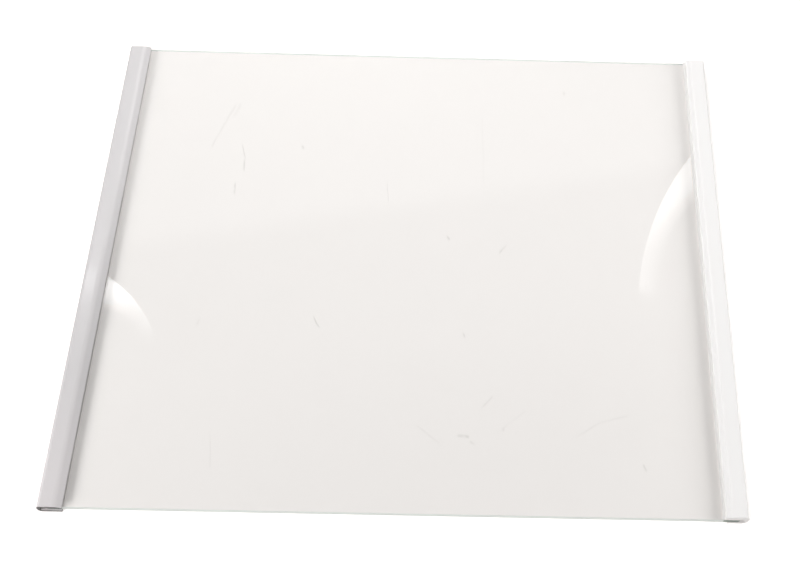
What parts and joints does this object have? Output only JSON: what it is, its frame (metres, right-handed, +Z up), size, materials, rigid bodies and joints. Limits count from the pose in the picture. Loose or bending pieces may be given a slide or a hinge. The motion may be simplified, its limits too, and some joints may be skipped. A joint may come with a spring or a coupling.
{
  "type": "refrigerator shelf",
  "caption": "Flat refrigerator shelf: a clear toughened glass pane with a silver plastic trim along the front edge and a raised white plastic trim along the rear edge.",
  "frame": {"origin": "middle of the shelf's outline, on the plane of the two trims' undersides", "axes": "+X along the trims, to the right as seen from the front; -Y towards the front (silver trim), +Y towards the rear (white trim); +Z up, out of the glass"},
  "size_m": [0.3522, 0.415, 0.0086],
  "materials": {
    "clear_glass": "clear, polished faces and finely ground edges",
    "silver_trim": "satin silver",
    "white_trim": "semi-gloss white"
  },
  "bodies": {
    "root": {"glass_pane": "clear_glass", "front_trim": "silver_trim", "rear_trim": "white_trim"}
  },
  "joints": []
}
